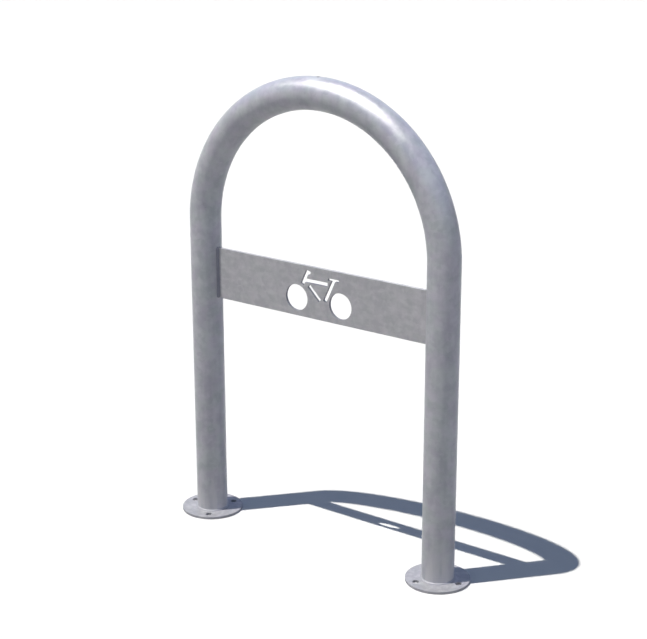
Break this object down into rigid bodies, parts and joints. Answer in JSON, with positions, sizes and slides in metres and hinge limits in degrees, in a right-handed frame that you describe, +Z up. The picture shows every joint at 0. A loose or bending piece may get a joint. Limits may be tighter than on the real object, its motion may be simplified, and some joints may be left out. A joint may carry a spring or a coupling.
{
  "type": "hoop bike stand",
  "caption": "Bent round-tube hoop for leaning and locking a bicycle, on round base flanges, with a flat cross plate pierced by a bicycle figure.",
  "frame": {"origin": "on the ground, midway between the two base flanges", "axes": "+X from the left foot to the right foot as seen from the front, +Y from the front to the back, +Z up"},
  "size_m": [0.6596, 0.12, 0.8998],
  "materials": {
    "galvanised_tube": "hot-dip galvanised, weathered to a dull mottled grey",
    "galvanised_plate": "hot-dip galvanised flat steel, dull mottled grey",
    "weld_bead": "galvanised over the bead, a little darker and rougher"
  },
  "bodies": {
    "root": {"hoop_tube": "galvanised_tube", "left_base_flange": "galvanised_plate", "right_base_flange": "galvanised_plate", "cross_plate": "galvanised_plate", "left_base_weld": "weld_bead", "right_base_weld": "weld_bead", "left_front_plate_weld": "weld_bead", "left_back_plate_weld": "weld_bead", "right_front_plate_weld": "weld_bead", "right_back_plate_weld": "weld_bead"}
  },
  "joints": []
}
